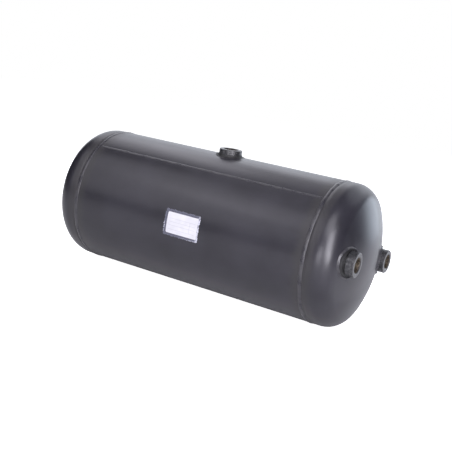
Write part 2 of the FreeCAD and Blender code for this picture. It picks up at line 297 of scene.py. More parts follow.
class Value:
    """A shader socket that carries one number, on which Python's operators add Math nodes."""

    def __init__(self, shader: "Shader", socket: bpy.types.NodeSocket) -> None:
        """Wraps a socket of a shader's tree."""
        self.shader = shader
        self.socket = socket

    def _with(self, operation: str, *values: object) -> "Value":
        """The result of a Math node on this value and others."""
        return self.shader.math(operation, *values)

    def __add__(self, other: object) -> "Value":
        """This value plus another."""
        return self._with("ADD", self, other)

    __radd__ = __add__

    def __sub__(self, other: object) -> "Value":
        """This value less another."""
        return self._with("SUBTRACT", self, other)

    def __rsub__(self, other: object) -> "Value":
        """Another value less this one."""
        return self._with("SUBTRACT", other, self)

    def __mul__(self, other: object) -> "Value":
        """This value times another."""
        return self._with("MULTIPLY", self, other)

    __rmul__ = __mul__

    def __abs__(self) -> "Value":
        """This value without its sign."""
        return self._with("ABSOLUTE", self)

    def step(self, low: float, high: float) -> "Value":
        """A smooth step of this value, from 0 at low to 1 at high."""
        return self.shader.value(
            "ShaderNodeMapRange", {"interpolation_type": "SMOOTHSTEP"},
            {"Value": self, "From Min": low, "From Max": high})

    def clamp(self) -> "Value":
        """This value kept between 0 and 1."""
        return self.shader.value("ShaderNodeClamp", {}, {"Value": self})


class Shader:
    """One material's node tree, with a single method that adds any node."""

    def __init__(self, name: str) -> None:
        """Starts a material with its Principled surface and the object's own coordinates.

        Args:
            name: the material's name.
        """
        self.material = bpy.data.materials.new(name)
        self.material.use_nodes = True
        self.tree = self.material.node_tree
        self.surface = self.tree.nodes["Principled BSDF"]
        self.place = self.node("ShaderNodeTexCoord").outputs["Object"]

    def node(self, kind: str, settings: dict | None = None,
             inputs: dict | None = None) -> bpy.types.Node:
        """Adds a node, sets it up and fills its sockets.

        Args:
            kind: the node's type.
            settings: its own properties, which are set first.
            inputs: a number, colour, socket or Value for each socket name or number.

        Returns:
            The new node.
        """
        made = self.tree.nodes.new(kind)
        for key, setting in (settings or {}).items():
            setattr(made, key, setting)
        for key, source in (inputs or {}).items():
            self.fill(made.inputs[key], source)
        return made

    def fill(self, socket: bpy.types.NodeSocket, source: object) -> None:
        """Links a socket to a source, or sets it to a number or colour.

        Args:
            socket: the input to fill.
            source: a Value or socket to link, or a number or colour to set.
        """
        source = source.socket if isinstance(source, Value) else source
        if isinstance(source, bpy.types.NodeSocket):
            self.tree.links.new(source, socket)
        else:
            socket.default_value = source

    def value(self, kind: str, settings: dict | None = None,
              inputs: dict | None = None, output: int | str = 0) -> Value:
        """Adds a node, as the node method does, and takes one of its outputs as a number."""
        return Value(self, self.node(kind, settings, inputs).outputs[output])

    def math(self, operation: str, *values: object) -> Value:
        """Adds a Math node."""
        return self.value("ShaderNodeMath", {"operation": operation}, dict(enumerate(values)))

    def noise(self, size: float, detail: float = 3.0, rough: float = 0.5,
              stretch: tuple[float, float, float] | None = None) -> Value:
        """Cloudy noise whose lumps are about a given size.

        Args:
            size: how far apart the lumps are, in metres.
            detail: how many finer layers there are.
            rough: how strong the finer layers are.
            stretch: factors on the three coordinates.

        Returns:
            The noise, about 0.5 on average.
        """
        place = self.place
        if stretch is not None:
            mapping = self.node("ShaderNodeMapping", {}, {"Vector": place, "Scale": stretch})
            place = mapping.outputs[0]
        return self.value("ShaderNodeTexNoise", {"noise_dimensions": "3D"},
                          {"Vector": place, "Scale": 1 / size, "Detail": detail,
                           "Roughness": rough})

    def vector(self, operation: str, *values: object) -> bpy.types.Node:
        """Adds a Vector Math node."""
        return self.node("ShaderNodeVectorMath", {"operation": operation}, dict(enumerate(values)))

    def along(self, origin: Vector, direction: Vector) -> Value:
        """The distance along a direction from an origin, at each point of the surface."""
        offset = self.vector("SUBTRACT", self.place, tuple(origin)).outputs[0]
        return Value(self, self.vector("DOT_PRODUCT", offset, tuple(direction)).outputs["Value"])

    def off_line(self, origin: Vector, direction: Vector) -> Value:
        """The distance from a line: the length of the offset's cross product with its direction.

        Args:
            origin: a point of the line.
            direction: the line's direction, of length 1.

        Returns:
            The distance at each point of the surface.
        """
        offset = self.vector("SUBTRACT", self.place, tuple(origin)).outputs[0]
        across = self.vector("CROSS_PRODUCT", offset, tuple(direction)).outputs[0]
        return Value(self, self.vector("LENGTH", across).outputs["Value"])

    def on_sheet(self) -> tuple[Value, Value]:
        """The place on a sheet: from -1 to 1 along the tank, and from -1 to 1 up its face.

        Returns:
            The two coordinates.
        """
        place = self.node("ShaderNodeUVMap", {"uv_map": "sheet"}).outputs[0]
        split = self.node("ShaderNodeSeparateXYZ", {}, {0: place})
        return Value(self, split.outputs[0]), Value(self, split.outputs[1])

    def blend(self, share: object, first: object, second: object) -> bpy.types.NodeSocket:
        """A colour between two, by a share from 0 for the first to 1 for the second."""
        return self.node("ShaderNodeMix", {"data_type": "RGBA"},
                         {0: share, 6: first, 7: second}).outputs[2]

    def relief(self, height: object, depth: float, strength: float = 1.0,
               base: object = None) -> bpy.types.NodeSocket:
        """A bumped normal.

        Args:
            height: the relief, from 0 to 1.
            depth: what 1 stands for, in metres.
            strength: how much of the relief shows.
            base: a normal that it is added to.

        Returns:
            The normal.
        """
        inputs = {"Height": height, "Distance": depth, "Strength": strength}
        if base is not None:
            inputs["Normal"] = base
        return self.node("ShaderNodeBump", {}, inputs).outputs[0]

    def finish(self, **sockets: object) -> bpy.types.Material:
        """Fills the surface's sockets.

        Args:
            sockets: the sources, by the sockets' names with _ for a space.

        Returns:
            The finished material.
        """
        for key, source in sockets.items():
            self.fill(self.surface.inputs[key.replace("_", " ")], source)
        return self.material


def grey(level: float, tint: tuple[float, ...] = (1.0, 1.0, 1.0)) -> tuple[float, ...]:
    """A colour of one level, tinted."""
    return (*(level * t for t in tint), 1.0)


# ---------------------------------------------------------------------------------------------
# Finishes
# ---------------------------------------------------------------------------------------------


@dataclass(frozen=True)
class SatinPaint:
    """Satin black paint over rolled plate: cloudy gloss, fine orange peel and a little dust."""

    name: str = "satin_black_paint"
    level: float = 0.018
    tint: tuple[float, float, float] = (1.01, 0.97, 1.24)
    gloss: float = 0.31
    cloud: float = 60 * MM
    peel: float = 2.2 * MM
    peel_depth: float = 0.012 * MM
    grain: float = 0.7 * MM

    def material(self) -> bpy.types.Material:
        """Builds the finish: dark paint with clouds of gloss, peel relief and specks of dust.

        Returns:
            The material.
        """
        shader = Shader(self.name)
        clouds = shader.noise(self.cloud, 4.0, 0.55)
        drift = shader.noise(self.cloud / 4, 4.0, 0.6, stretch=(0.35, 1.0, 1.0))
        peel = shader.noise(self.peel, 2.0, 0.5)
        grain = shader.noise(self.grain, 3.0, 0.6)
        dust = shader.noise(1.1 * MM, 1.0, 0.4).step(0.70, 0.80) * clouds.step(0.45, 0.7)
        joint = self.near_joint(shader)
        base = shader.blend(clouds.step(0.3, 0.7), grey(self.level * 0.85, self.tint),
                            grey(self.level * 1.2, self.tint))
        base = shader.blend(joint * 0.5, base, grey(self.level * 1.5, (1.05, 1.0, 0.95)))
        base = shader.blend(dust * 0.15, base, grey(self.level * 4, (1.0, 0.98, 0.92)))
        rough = self.gloss + (clouds - 0.5) * 0.07 + (drift - 0.5) * 0.05 + joint * 0.06
        rough = rough + dust * 0.08 + (grain - 0.5) * 0.06
        low = shader.relief(clouds + drift * 0.25, 0.04 * MM, 0.6)
        return shader.finish(
            Base_Color=base, Roughness=rough.clamp(),
            Normal=shader.relief(peel + grain * 0.3, self.peel_depth, 1.0, low))

    @staticmethod
    def near_joint(shader: Shader) -> Value:
        """How near a point is to either girth joint, where the heat has dulled the paint.

        Args:
            shader: the tree that the nodes go into.

        Returns:
            1 at a joint, falling to 0 about 20 mm from it, with a ragged edge.
        """
        along = abs(shader.along(Vector(), Vector((1, 0, 0))))
        gap = abs(along - FORM.joint)
        ragged = gap + (shader.noise(14 * MM, 3.0, 0.6) - 0.5) * (16 * MM)
        return 1 - ragged.step(6 * MM, 20 * MM)


@dataclass(frozen=True)
class WeldPaint:
    """The same paint over a weld, patchy, with painted shade, near black and dull, in the hollow
    beside a port's boss.
    """

    name: str = "painted_weld"
    level: float = 0.030
    gloss: float = 0.30
    painted_shade_level: float = 0.006
    hollow: tuple[Vector, Vector, float] | None = None

    def material(self) -> bpy.types.Material:
        """Builds the finish: a shade lighter than the plate, uneven, with grit and specks.

        Returns:
            The material.
        """
        shader = Shader(self.name)
        patches = shader.noise(16 * MM, 4.0, 0.6)
        grit = shader.noise(0.8 * MM, 3.0, 0.65)
        specks = shader.noise(2.0 * MM, 1.0, 0.4).step(0.68, 0.74)
        base = shader.blend(patches.step(0.35, 0.7), grey(self.level * 0.8, (1.0, 0.97, 1.18)),
                            grey(self.level * 1.5, (1.03, 1.0, 1.06)))
        base = shader.blend(specks * 0.5, base, grey(self.level * 0.3))
        rough = self.gloss + (patches - 0.5) * 0.25 + (grit - 0.5) * 0.15
        # Painted shade: the weld in the hollow next to the boss is darkened to near black, and made
        # duller.
        if self.hollow is not None:
            origin, axis, reach = self.hollow
            far = shader.off_line(origin, axis) + (grit - 0.5) * MM
            inside = 1 - far.step(reach - 1.0 * MM, reach + 0.6 * MM)
            base = shader.blend(inside * 0.85, base, grey(self.painted_shade_level))
            rough = rough + inside * 0.25
        return shader.finish(
            Base_Color=base, Roughness=rough.clamp(),
            Normal=shader.relief(grit + patches * 0.5, 0.03 * MM, 0.7))


@dataclass(frozen=True)
class PortSteel:
    """A turned boss: thin black paint outside, bare browned threads inside the bore."""

    origin: Vector
    axis: Vector
    bore: float
    face: float
    name: str
    collar: float
    level: float = 0.020
    gloss: float = 0.30
    painted_shade_level: float = 0.006
    turning: float = 0.55 * MM
    dark_rust: tuple[float, ...] = (0.030, 0.022, 0.016, 1.0)
    pale_rust: tuple[float, ...] = (0.24, 0.19, 0.12, 1.0)

    def material(self) -> bpy.types.Material:
        """Builds the finish: turning marks round the axis, streaky paint, painted shade below the
        collar and a bare bore.

        Returns:
            The material.
        """
        shader = Shader(self.name)
        depth = shader.along(self.origin, self.axis)
        reach = shader.off_line(self.origin, self.axis)
        flecks = shader.noise(1.6 * MM, 4.0, 0.65)
        streaks = shader.noise(3.0 * MM, 3.0, 0.6)
        bare = 1 - (reach + (flecks - 0.5) * (0.8 * MM)).step(self.bore, self.bore + 1.3 * MM)
        turned = shader.math("SINE", depth * (2 * math.pi / self.turning))
        paint = shader.blend(streaks.step(0.4, 0.75), grey(self.level, (0.95, 0.97, 1.06)),
                             grey(self.level * 3.2, (1.0, 1.0, 1.02)))
        # Painted shade: the neck below the collar is darkened to near black, and made duller.
        under = self.face - self.collar
        painted_shade_under_collar = 1 - (depth + (flecks - 0.5) * MM).step(under - MM, under + MM)
        paint = shader.blend(painted_shade_under_collar * 0.85, paint, grey(self.painted_shade_level))
        rust = shader.blend(flecks.step(0.4, 0.68), self.dark_rust, self.pale_rust)
        rough = self.gloss + (flecks - 0.5) * 0.25 + bare * 0.10 + painted_shade_under_collar * 0.25
        marks = shader.relief(turned * 0.5 + flecks * 1.4, 0.03 * MM, 0.7)
        return shader.finish(
            Base_Color=shader.blend(bare, paint, rust), Metallic=(bare * 0.7).clamp(),
            Roughness=rough.clamp(), Normal=marks)


@dataclass(frozen=True)
class ClearFilm:
    """A thin film stuck on the paint: dull and bluish, milky where it has lifted at its rim."""

    name: str = "label_film"
    thin: tuple[float, ...] = (0.060, 0.062, 0.085, 1.0)
    thick: tuple[float, ...] = (0.100, 0.102, 0.135, 1.0)
    rim: tuple[float, ...] = (0.17, 0.175, 0.22, 1.0)
    lifted: tuple[float, ...] = (0.52, 0.53, 0.60, 1.0)

    def material(self) -> bpy.types.Material:
        """Builds the finish: patchy film, a paler rim, and milk at its ends and its foot.

        Returns:
            The material.
        """
        shader = Shader(self.name)
        along, up = shader.on_sheet()
        lumps = shader.noise(5 * MM, 4.0, 0.6)
        fine = shader.noise(1.3 * MM, 3.0, 0.6)
        right = (along + (lumps - 0.5) * 0.28).step(0.86, 0.97)
        left = (0 - along + (lumps - 0.5) * 0.3).step(0.93, 1.0)
        low_left = left * (0 - up).step(-0.15, 0.25) * (up + 0.85).step(0.0, 0.2)
        foot = (0 - up + (lumps - 0.5) * 0.3).step(0.9, 1.0) * along.step(-0.2, 0.6)
        milk = (right * lumps.step(0.3, 0.5) + low_left + foot * 0.6).clamp()
        edge = shader.math("MAXIMUM", abs(along) - 0.02, abs(up)).step(0.93, 1.0)
        base = shader.blend(fine.step(0.35, 0.7), self.thin, self.thick)
        base = shader.blend(edge * 0.6, base, self.rim)
        base = shader.blend(milk, base, self.lifted)
        rough = 0.34 + milk * 0.2 + (fine - 0.5) * 0.25
        return shader.finish(
            Base_Color=base, Roughness=rough.clamp(),
            Normal=shader.relief(lumps + fine * 0.4, 0.12 * MM, 0.5))


@dataclass(frozen=True)
class LabelPaper:
    """Smooth white label stock, bare but for faint ruled lines."""

    name: str = "label_paper"
    rows: tuple[float, ...] = (0.42, 0.10, -0.22, -0.62)
    column: float = 0.50
    dull: tuple[float, ...] = (0.50, 0.50, 0.525, 1.0)
    bright: tuple[float, ...] = (0.56, 0.56, 0.58, 1.0)
    ink: tuple[float, ...] = (0.20, 0.20, 0.23, 1.0)

    def material(self) -> bpy.types.Material:
        """Builds the finish: a slightly uneven white with thin grey ruling.

        Returns:
            The material.
        """
        shader = Shader(self.name)
        along, up = shader.on_sheet()
        fibres = shader.noise(0.9 * MM, 4.0, 0.6)
        clouds = shader.noise(12 * MM, 3.0, 0.5)
        inside = 1 - abs(along).step(0.84, 0.86)
        upright = 1 - abs(along - self.column).step(0.006, 0.020)
        ruling = upright * (1 - abs(up + 0.1).step(0.50, 0.53))
        for row in self.rows:
            ruling = ruling + (1 - abs(up - row).step(0.008, 0.030))
        base = shader.blend(clouds.step(0.3, 0.7), self.dull, self.bright)
        base = shader.blend((ruling * inside * 0.35).clamp(), base, self.ink)
        return shader.finish(
            Base_Color=base, Roughness=(0.45 + (fibres - 0.5) * 0.2).clamp(),
            Normal=shader.relief(fibres + clouds, 0.02 * MM, 0.5))


# ---------------------------------------------------------------------------------------------
# Sub-assemblies
# ---------------------------------------------------------------------------------------------


class End(Enum):
    """The two ends of the tank, by the sign of their x."""

    NEAR = 1
    FAR = -1


def dress(piece: bpy.types.Object, material: bpy.types.Material) -> None:
    """Gives a piece or a CAD node one material."""
    piece.data.materials.clear()
    piece.data.materials.append(material)


def hand_over(piece: bpy.types.Object, node: str,
              material: bpy.types.Material) -> None:
    """Dresses a new piece, puts it in its node's place and makes it ride with the tank.

    Args:
        piece: the new piece.
        node: the CAD node that it stands for.
        material: the piece's finish.
    """
    dress(piece, material)
    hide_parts(node)
    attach(piece, "root")
    LOG.info("%s: %d vertices", piece.name, len(piece.data.vertices))


@dataclass
class Shell:
    """The rolled shell, which keeps its CAD mesh."""

    node: str = "shell"

    def build(self, paint: bpy.types.Material) -> None:
        """Paints the shell."""
        dress(frame["nodes"][self.node], paint)
        LOG.info("%s: painted", self.node)


@dataclass
class Head:
    """A pressed head: a plate of even thickness with a hole under each of its ports."""

    end: End
    ports: tuple["Port", ...] = ()
    wall: float = 3.0 * MM
    groove: float = 1.5 * MM
    groove_depth: float = 2.0 * MM
    hole: float = 12.8 * MM
    around: int = 288

    def build(self, paint: bpy.types.Material) -> None:
        """Builds the head and puts it in its node's place."""
        node = f"{self.end.name.lower()}_head"
        hand_over(self.surface().build(f"{node}_plate"), node, paint)

    def surface(self) -> Surface:
        """The head as two revolved faces, joined along every free edge.

        Outer and inner face are the same grid of angle by place along the profile, with one
        shared point at the pole. Quads nearer to a port's axis than the hole's radius are left
        out of both. Each edge that then has a quad on one side only gets a wall through the
        plate.

        Returns:
            The closed surface.
        """
        turn = full_circle(self.around).T
        layers = []
        for inset in (0.0, self.wall):
            x, radius = self.profile(inset)
            layers.append(np.stack([self.end.value * x[:, None] + 0 * turn,
                                    radius[:, None] * np.cos(turn),
                                    FORM.axis_height + radius[:, None] * np.sin(turn)], axis=-1))
        rows, columns = layers[0].shape[:2]
        faces = grid_faces(rows, columns, False, True)
        middles = layers[0].reshape(-1, 3)[faces].mean(axis=1)
        for port in self.ports:
            axis, origin = np.array(port.axis), np.array(port.origin)
            gap = np.linalg.norm(np.cross(middles - origin, axis), axis=1)
            faces, middles = faces[gap > self.hole], middles[gap > self.hole]
        faces = np.where(faces < columns, 0, faces)
        count = rows * columns
        return Surface(np.concatenate([layer.reshape(-1, 3) for layer in layers]),
                       np.concatenate([faces, faces[:, ::-1] + count,
                                       free_edge_walls(faces, count)]))

    def profile(self, inset: float) -> tuple[np.ndarray, np.ndarray]:
        """Half of the head's outline at a depth in the plate, from the pole to the girth joint.

        Args:
            inset: the depth below the outer face.

        Returns:
            The x and the distance from the tank's axis: crown arc, knuckle arc, straight
            flange, and on the outer face the groove that the girth weld fills.
        """
        start = FORM.joint + FORM.flange
        level = FORM.radius - FORM.knuckle_radius
        gap = FORM.crown_radius - FORM.knuckle_radius
        centre = start - math.sqrt(gap**2 - level**2)
        meeting = math.atan2(level, start - centre)
        crown = np.linspace(0, meeting, 68)
        knuckle = np.linspace(meeting, np.pi / 2, 30)[1:]
        crown_r, knuckle_r = FORM.crown_radius - inset, FORM.knuckle_radius - inset
        depth = self.groove_depth if inset == 0 else 0.0
        x = np.concatenate([centre + crown_r * np.cos(crown), start + knuckle_r * np.cos(knuckle),
                            (FORM.joint + 8 * MM, FORM.joint + self.groove, FORM.joint)])
        flat = FORM.radius - inset
        radius = np.concatenate([crown_r * np.sin(crown), level + knuckle_r * np.sin(knuckle),
                                 (flat, flat, flat - depth)])
        return x, radius


@dataclass
class GirthWeld:
    """A machine-laid weld round a girth joint: fine ripples, a slight wander, an overlap."""

    end: End
    seed: int
    overlap: float
    half_width: float = 2.6 * MM
    rise: float = 0.68 * MM
    most: float = 1.28 * MM
    drift: float = 0.2 * MM
    lap_width: float = 0.7 * MM
    lap_rise: float = 0.35 * MM
    crater: float = 0.45 * MM
    ripple: float = 1.9 * MM
    ripple_rise: float = 0.05 * MM
    sunk: float = 0.6 * MM
    around: int = 2400
    across: int = 17

    def build(self, paint: bpy.types.Material) -> None:
        """Builds the bead and puts it in its node's place.

        Args:
            paint: the finish of the welds.
        """
        node = f"{self.end.name.lower()}_girth_weld"
        piece = Surface.ring(self.section_grid()).build(f"{node}_bead")
        hand_over(piece, node, paint)

    def section_grid(self) -> np.ndarray:
        """The grid of the bead: angle round the tank by place round its section.

        The crown of the section is a parabola over the joint. Its height and half width wander
        slowly round the tank, swell where the bead's end lies over its start, and dip in a
        small crater beside that. Crescent-shaped ripples run along it: a sine of the arc
        length, held back by the square of the distance from the middle. The section closes
        through a flat floor sunk into the plate.

        Returns:
            Rows of closed sections, one row for each angle.
        """
        turn = full_circle(self.around)
        share = np.linspace(-1, 1, self.across)[None, :]
        lap = bump(turn, self.overlap, 0.035)
        crater = bump(turn, self.overlap - 0.055, 0.012)
        width = self.half_width * (1 + 0.05 * wave(turn, self.seed, (5, 11, 23, 47)))
        width = width + self.lap_width * lap
        drift = self.drift * wave(turn, self.seed + 1, (2, 7, 16, 31))
        height = self.rise * (1 + 0.10 * wave(turn, self.seed + 2, (4, 13, 29, 61)))
        height = height + self.lap_rise * lap - self.crater * crater
        length = turn * FORM.radius + 1.3 * MM * share**2
        ripples = self.ripple_rise * np.sin(2 * np.pi * length / self.whole_ripple())
        crown = (1 - share**2) * (height + ripples * np.cos(share * np.pi / 2))
        top_radius = FORM.radius + np.minimum(crown, self.most)
        top_x = self.end.value * FORM.joint + drift + width * share
        floor_x = np.concatenate([top_x[:, -1:], top_x[:, :1]], axis=1)
        floor_radius = np.full_like(floor_x, FORM.radius - self.sunk)
        x = np.concatenate([top_x, floor_x], axis=1)
        radius = np.concatenate([top_radius, floor_radius], axis=1)
        return self.round_the_axis(x, radius, turn)

    def whole_ripple(self) -> float:
        """The ripple's length, changed a little so that whole ripples go round the girth."""
        girth = 2 * np.pi * FORM.radius
        return girth / round(girth / self.ripple)

    @staticmethod
    def round_the_axis(x: np.ndarray, radius: np.ndarray, turn: np.ndarray) -> np.ndarray:
        """Points at given x, distance from the tank's axis and angle from the top to the front."""
        return np.stack([x + 0 * turn, -radius * np.sin(turn),
                         FORM.axis_height + radius * np.cos(turn)], axis=-1)


@dataclass
class SeamWeld:
    """The narrow lengthwise weld of the rolled shell, nearly smooth under the paint."""

    turn: float = math.radians(35.8)
    half_width: float = 1.7 * MM
    rise: float = 0.39 * MM
    sunk: float = 0.4 * MM
    drift: float = 0.2 * MM
    spare: float = 0.1 * MM
    ripple: float = 1.6 * MM
    ripple_rise: float = 0.05 * MM
    along: int = 1500
    across: int = 11

    def build(self, paint: bpy.types.Material) -> None:
        """Builds the strip and puts it in its node's place."""
        piece = Surface.bar(self.section_grid()).build("seam_weld_bead")
        hand_over(piece, "seam_weld", paint)

    def section_grid(self) -> np.ndarray:
        """The grid of the strip: place along the tank by place round its section.

        The crown is a parabola on the tube's round face. Its height carries small crescent
        ripples, and its line wanders a little from side to side.

        Returns:
            Rows of closed sections, one row for each place along the tank.
        """
        low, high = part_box("seam_weld")
        x = np.linspace(low.x, high.x, self.along)[:, None]
        phase = (x - low.x) / (high.x - low.x) * 2 * np.pi
        share = np.linspace(-1, 1, self.across)[None, :]
        drift = self.drift * wave(phase, 5, (3, 8, 19))
        width = self.half_width * (1 + 0.08 * wave(phase, 6, (7, 17, 41))) - self.spare
        ripples = self.ripple_rise * np.sin(2 * np.pi * (x + 0.6 * MM * share**2) / self.ripple)
        crown = (1 - share**2) * (self.rise + ripples)
        across = drift + width * share
        top = FORM.tube_height(across) + crown
        ends = np.concatenate([across[:, -1:], across[:, :1]], axis=1)
        across = np.concatenate([across, ends], axis=1)
        above = np.concatenate([top, FORM.tube_height(ends) - self.sunk], axis=1)
        lean, upright = math.sin(self.turn), math.cos(self.turn)
        return np.stack([x + 0 * across, -(above * lean + across * upright),
                         FORM.axis_height + above * upright - across * lean], axis=-1)


@dataclass
class Port:
    """A threaded boss and the weld round it, placed by the port's mount."""

    name: str
    seed: int
    radius: float = 17 * MM
    mouth: float = 11.5 * MM
    edge: float = 1.0 * MM
    pitch: float = 1.5 * MM
    thread_depth: float = 0.81 * MM
    ridge: float = 2.1 * MM
    collar: float = 11.5 * MM
    neck: float = 14.6 * MM
    climb: float = 1.6 * MM
    weld_reach: float = 4.9 * MM
    ridge_place: float = 0.78
    ridge_width: float = 0.14
    around: int = 144
    weld_around: int = 720
    origin: Vector = field(init=False)
    axis: Vector = field(init=False)
    core: float = field(init=False)
    face: float = field(init=False)
    foot: float = field(init=False)

    def __post_init__(self) -> None:
        """Reads the port's place, axis and bore from its mount, and its reach from its node."""
        mounts = {mount["name"]: mount for mount in frame["record"]["mounts"]}
        mount = mounts[f"{self.name}_thread"]
        self.origin, self.axis = Vector(mount["pos_m"]), Vector(mount["axis"])
        self.core = mount["dims"]["r_mm"] * MM
        low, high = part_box(self.name)
        self.face = (high - self.origin).dot(self.axis)
        self.foot = (low - self.origin).dot(self.axis)

    def frame_axes(self) -> tuple[np.ndarray, np.ndarray, np.ndarray]:
        """The port's own directions.

        Returns:
            The port's axis and two directions square to it, the first away from the tank's axis
            or, for a port on top, along the tank.
        """
        axis = np.array(self.axis)
        centre = np.array((self.origin.x, 0, FORM.axis_height))
        outward = np.array(self.origin) - centre
        outward -= axis * outward.dot(axis)
        if np.linalg.norm(outward) < MM:
            outward = np.array((1.0, 0.0, 0.0))
        outward /= np.linalg.norm(outward)
        return axis, outward, np.cross(axis, outward)

    def place(self, turn: np.ndarray, radius: np.ndarray, level: np.ndarray) -> np.ndarray:
        """Points about the port's axis.

        Args:
            turn: their angles round the axis.
            radius: their distances from the axis.
            level: their places along the axis, from the mount's.

        Returns:
            The points, as broad as the three arrays together.
        """
        axis, first, second = self.frame_axes()
        return (np.array(self.origin) + level[..., None] * axis
                + (radius * np.cos(turn))[..., None] * first
                + (radius * np.sin(turn))[..., None] * second)

    def build(self) -> None:
        """Builds the boss and its weld and puts them in their nodes' places."""
        # The weld's paint gets painted shade within 4.8 mm beyond the neck, and the boss gets
        # painted shade below its collar.
        weld_paint = WeldPaint(f"{self.name}_painted_weld", hollow=(
            self.origin, self.axis, self.neck + 4.8 * MM)).material()
        steel = PortSteel(self.origin, self.axis, self.core, self.face, f"{self.name}_steel",
                          self.collar).material()
        boss = Surface.ring(self.boss_grid()).build(f"{self.name}_boss")
        hand_over(boss, self.name, steel)
        weld = Surface.ring(self.weld_grid()).build(f"{self.name}_weld_bead")
        hand_over(weld, f"{self.name}_weld", weld_paint)

    def boss_grid(self) -> np.ndarray:
        """The grid of the boss: angle round its axis by place round its section.

        The section goes up the neck and, by a smooth step, the wider collar, over the rounded
        rim and the flat face, down the countersink and then the bore. In the bore the radius is
        a clipped triangle wave of the level less the share of a turn times the pitch, which
        makes a right-hand helix. It runs out at both ends of the bore.

        Returns:
            Rows of closed sections, one row for each angle.
        """
        turn = full_circle(self.around)
        bend = np.linspace(0, np.pi / 2, 7)
        rim_r = self.radius - self.edge + self.edge * np.cos(bend)
        rim_l = self.face - self.edge + self.edge * np.sin(bend)
        side_l = np.linspace(self.foot, self.face - self.edge, 60)[:-1]
        rise = np.clip((side_l - (self.face - self.collar)) / (1.2 * MM) + 0.5, 0, 1)
        side_r = self.neck + (self.radius - self.neck) * rise**2 * (3 - 2 * rise)
        flat_r = np.linspace(self.radius - self.edge, self.mouth, 6)[1:]
        sink = self.mouth - self.core
        bore_l = np.linspace(self.face - sink, self.foot, 150)
        radius = np.concatenate([side_r, rim_r, flat_r,
                                 np.full_like(bore_l, self.core)])[None, :]
        level = np.concatenate([side_l, rim_l, np.full_like(flat_r, self.face), bore_l])[None, :]
        phase = (level - turn / (2 * np.pi) * self.pitch) / self.pitch
        tooth = np.clip(1.15 - 2.6 * np.abs(phase % 1.0 - 0.5), 0, 1)
        fade = np.clip((self.face - sink * 0.4 - level) / (0.8 * MM), 0, 1)
        fade = fade * np.clip((level - self.foot) / MM, 0, 1)
        in_bore = np.arange(radius.shape[1])[None, :] >= radius.shape[1] - len(bore_l)
        radius = radius + in_bore * fade * tooth * self.thread_depth
        return self.place(turn, radius, level + 0 * turn)

    def weld_grid(self) -> np.ndarray:
        """The grid of the weld: angle round the boss by place round its section.

        The section starts against the boss, dips into a hollow, rises to a rounded ridge near
        its outer toe and falls steeply to the plate. Each point's level is measured from the
        plate under it, so the ring follows the tube or the crown. Ridge and toe wander, and
        ripples run round it as a sine of the arc length.

        Returns:
            Rows of closed sections, one row for each angle.
        """
        turn = full_circle(self.weld_around)
        share = np.linspace(0, 1, 22)[None, :]
        inner = self.neck - 0.05 * MM
        toe = self.radius + self.weld_reach + 0.30 * MM * wave(turn, self.seed, (2, 5, 9))
        radius = inner + (toe - inner) * share
        ridge = self.ridge * (1 + 0.16 * wave(turn, self.seed + 1, (1, 4, 7, 12)))
        profile = (self.climb * np.clip(1 - share / 0.6, 0, 1) ** 2
                   + ridge * np.exp(-((share - self.ridge_place) / self.ridge_width) ** 2)
                   + 0.2 * MM * (1 - share))
        ripple = 0.10 * MM * np.sin(turn * 46 + 2.2 * share) * np.exp(-((share - 0.72) / 0.2) ** 2)
        cap = (profile + ripple) * np.clip((1 - share) / 0.06, 0, 1)
        over = self.plate_level(turn, radius) + cap
        under_r = np.concatenate([toe, inner + 0 * toe], axis=1)
        under = self.plate_level(turn, under_r) - 0.5 * MM
        level = np.concatenate([over, under], axis=1)
        return self.place(turn, np.concatenate([radius, under_r], axis=1), level)

    def plate_level(self, turn: np.ndarray, radius: np.ndarray) -> np.ndarray:
        """The level of the tank's outer face beside the port, along the port's axis.

        Args:
            turn: angles round the port's axis.
            radius: distances from it.

        Returns:
            The level of the crown for a port on a head, and of the tube for one on the shell.
        """
        spot = self.place(turn, radius, np.zeros(np.broadcast(turn, radius).shape))
        from_axis = spot[..., 1:] - np.array((0.0, FORM.axis_height))
        if self.axis.x > 0.5:
            return FORM.crown_reach(np.linalg.norm(from_axis, axis=-1)) - self.origin.x
        return FORM.axis_height + FORM.tube_height(spot[..., 1]) - self.origin.z


